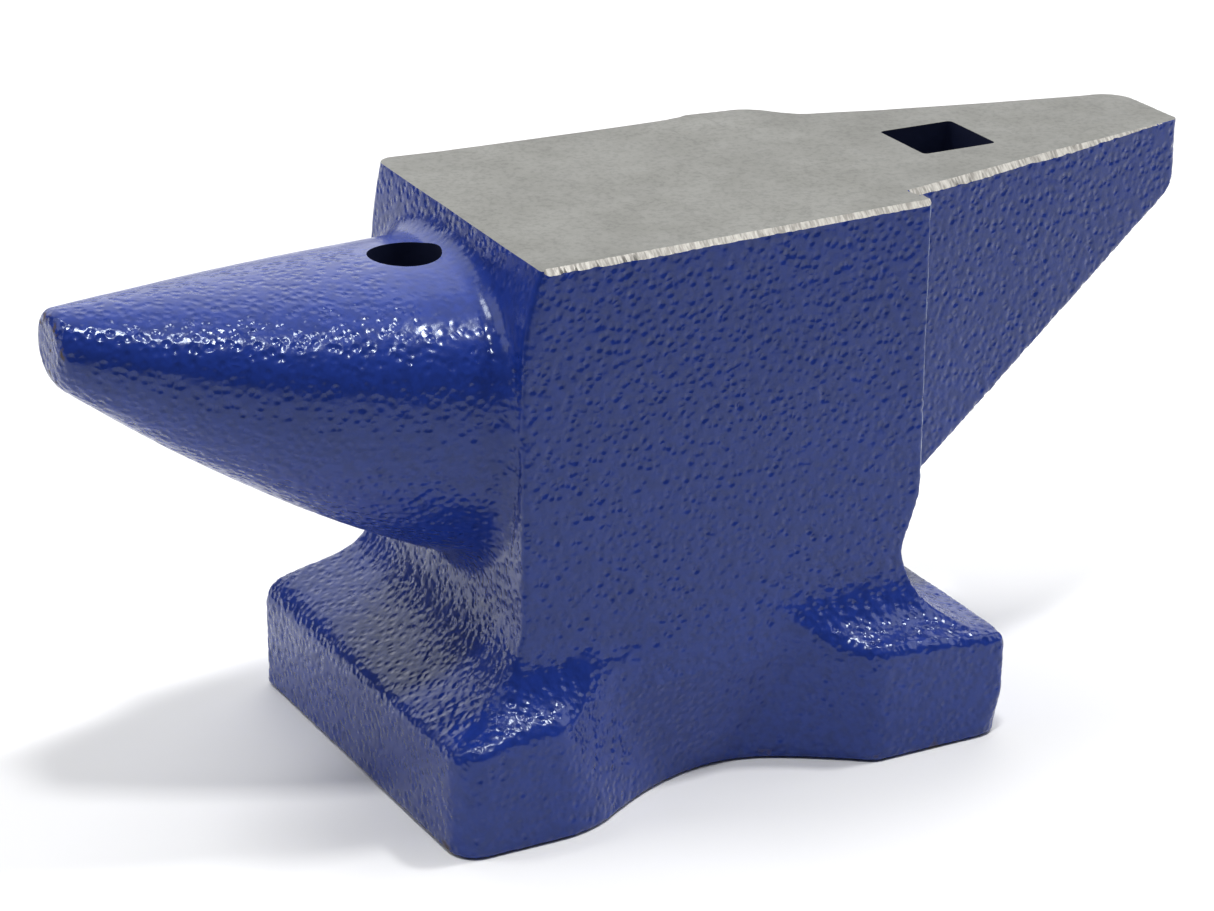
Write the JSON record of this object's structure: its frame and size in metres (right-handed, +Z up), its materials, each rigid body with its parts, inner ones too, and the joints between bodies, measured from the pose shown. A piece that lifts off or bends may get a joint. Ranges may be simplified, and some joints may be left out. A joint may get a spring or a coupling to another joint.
{
  "type": "anvil",
  "caption": "Small London-pattern anvil with a tapering horn, a wedge heel, a bare steel face, a square and a round hole, and a flared base with a hollow on each long side.",
  "frame": {"origin": "centre of the underside of the base", "axes": "+Z up to the working face, +X along the length from the horn towards the heel, +Y across the width towards the far side"},
  "size_m": [0.2698, 0.1006, 0.125],
  "materials": {
    "blue_paint": "thick glossy hammered enamel over cast iron",
    "milled_steel": "bare, fly-cut top with coarsely ground chamfers"
  },
  "bodies": {
    "root": {"body_core": "blue_paint", "horn": "blue_paint", "heel": "blue_paint", "face_plate": "milled_steel", "foot_horn_near": "blue_paint", "foot_horn_far": "blue_paint", "foot_heel_near": "blue_paint", "foot_heel_far": "blue_paint"}
  },
  "joints": []
}
